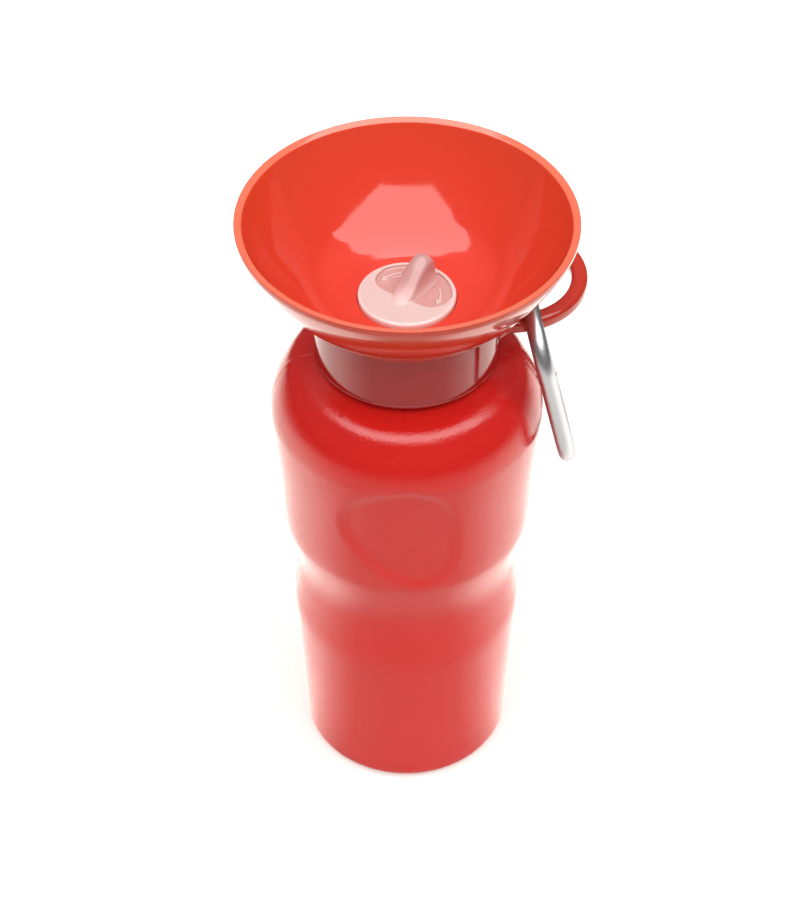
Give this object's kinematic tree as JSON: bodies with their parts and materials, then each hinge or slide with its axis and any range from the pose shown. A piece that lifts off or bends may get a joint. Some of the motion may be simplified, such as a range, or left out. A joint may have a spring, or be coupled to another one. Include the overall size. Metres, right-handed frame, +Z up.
{
  "type": "dog travel water bottle",
  "caption": "Waisted squeeze bottle for pet travel; its screw-on cap is a drinking bowl with a twist valve, a dip tube, a carry loop and a hanging snap clip.",
  "frame": {"origin": "on the bottle's axis, in the plane that its foot ring stands on", "axes": "+Z up along the bottle's axis, -Y the front with the thumb recess, +X the side where the clip hangs"},
  "size_m": [0.1072, 0.1022, 0.2184],
  "materials": {
    "bottle_plastic": "soft satin gloss",
    "bowl_plastic": "gloss",
    "valve_plastic": "milky translucent",
    "tube_plastic": "translucent",
    "seal_silicone": "matte",
    "clip_metal": "satin",
    "pin_steel": "bright"
  },
  "bodies": {
    "bottle": {"bottle": "bottle_plastic"},
    "cap_thread": {"neck_gasket": "seal_silicone"},
    "bowl_cap": {"bowl": "bowl_plastic", "dip_tube": "tube_plastic"},
    "valve_cam": {"valve_seal": "seal_silicone"},
    "valve": {"valve_knob": "valve_plastic"},
    "clip": {"clip_frame": "clip_metal", "gate_pin": "pin_steel"},
    "gate": {"clip_gate": "clip_metal", "latch_pin": "pin_steel", "gate_spring": "pin_steel"}
  },
  "joints": [
    {"name": "cap_lift", "type": "slide", "parent": "bottle", "child": "cap_thread", "axis": [0, 0, 1], "range_m": [0, 0.00636]},
    {"name": "cap_turn", "type": "hinge", "parent": "cap_thread", "child": "bowl_cap", "pos_m": [0, 0, 0.1832], "axis": [0, 0, 1], "range_deg": [0, 540]},
    {"name": "valve_lift", "type": "slide", "parent": "bowl_cap", "child": "valve_cam", "axis": [0, 0, 1], "range_m": [0, 0.00241]},
    {"name": "valve_turn", "type": "hinge", "parent": "valve_cam", "child": "valve", "pos_m": [0, 0, 0.1884], "axis": [0, 0, 1], "range_deg": [0, 90]},
    {"name": "clip_swing", "type": "hinge", "parent": "bowl_cap", "child": "clip", "pos_m": [0.03724, -0.00302, 0.18643], "axis": [0.1045, -0.9945, 0], "range_deg": [0, 40]},
    {"name": "gate_turn", "type": "hinge", "parent": "clip", "child": "gate", "pos_m": [0.03976, 0.01232, 0.16891], "axis": [-0.9682, -0.1018, -0.2284], "range_deg": [0, 28], "stiffness_Nm_per_rad": 0.05, "springref_deg": -17.19}
  ],
  "couplings": [
    {"joint": "cap_lift", "follows": "cap_turn", "m_per_rad": 0.0006737},
    {"joint": "valve_lift", "follows": "valve_turn", "m_per_rad": 0.0015279}
  ]
}
